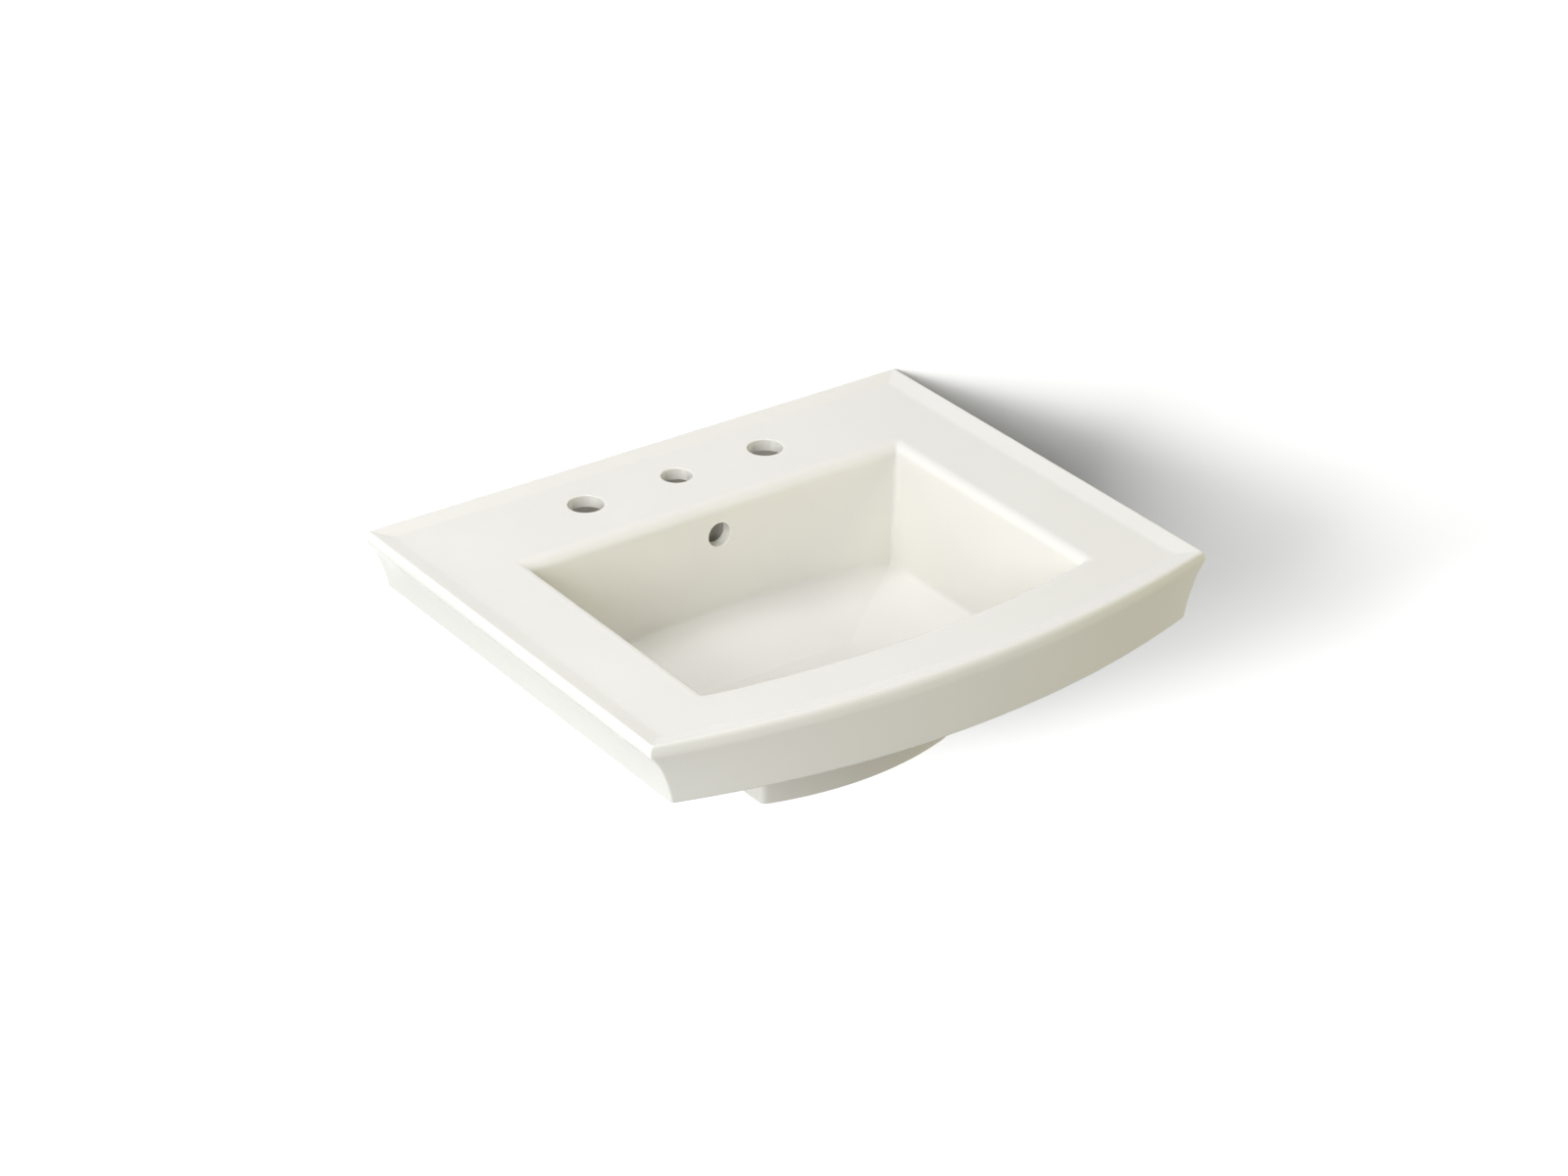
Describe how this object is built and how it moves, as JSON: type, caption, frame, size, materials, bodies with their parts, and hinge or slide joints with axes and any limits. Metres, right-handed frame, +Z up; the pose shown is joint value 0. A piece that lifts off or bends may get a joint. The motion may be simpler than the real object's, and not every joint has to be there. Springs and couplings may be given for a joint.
{
  "type": "pedestal sink",
  "caption": "Bow-front china pedestal basin with a bevelled rim, rectangular bowl, three tap holes, overflow, push-button waste and wall hangers.",
  "frame": {"origin": "on the wall plane, midway between the two hanger studs, 38 mm below the crest of the rim", "axes": "+X to the right as seen from the front, +Y into the wall, +Z up"},
  "size_m": [0.6052, 0.582, 0.233],
  "materials": {
    "china": "glazed, warm white",
    "chrome": "polished",
    "brass": "turned",
    "zinc_steel": "zinc plated",
    "spring_steel": "drawn wire",
    "rubber": "matt",
    "nylon": "matt",
    "acetal": "satin"
  },
  "bodies": {
    "basin": {"basin": "china", "hanger_stud_left": "zinc_steel", "hanger_bush_left": "nylon", "hanger_washer_left": "zinc_steel", "hanger_nut_left": "zinc_steel", "hanger_stud_right": "zinc_steel", "hanger_bush_right": "nylon", "hanger_washer_right": "zinc_steel", "hanger_nut_right": "zinc_steel", "waste_body": "chrome", "flange_gasket": "rubber", "under_gasket": "rubber", "slip_washer": "nylon", "lock_nut": "brass", "latch_housing": "acetal", "latch_nut": "brass", "latch_spring": "spring_steel"},
    "plug": {"plug_stem": "brass", "plug_seal": "rubber", "plug_cap": "chrome"},
    "rotor": {"latch_rotor": "acetal"}
  },
  "joints": [
    {"name": "plug_press", "type": "slide", "parent": "basin", "child": "plug", "axis": [0, 0, 1], "range_m": [-0.008, 0], "stiffness_N_per_m": 600, "springref_m": 0.004, "deforming": ["latch_spring"]},
    {"name": "rotor_turn", "type": "hinge", "parent": "plug", "child": "rotor", "pos_m": [0, -0.275, -0.152], "axis": [0, 0, 1], "range_deg": [-60, 0]}
  ],
  "couplings": [
    {"joint": "rotor_turn", "follows": "plug_press", "rad_per_m": 130.8}
  ]
}
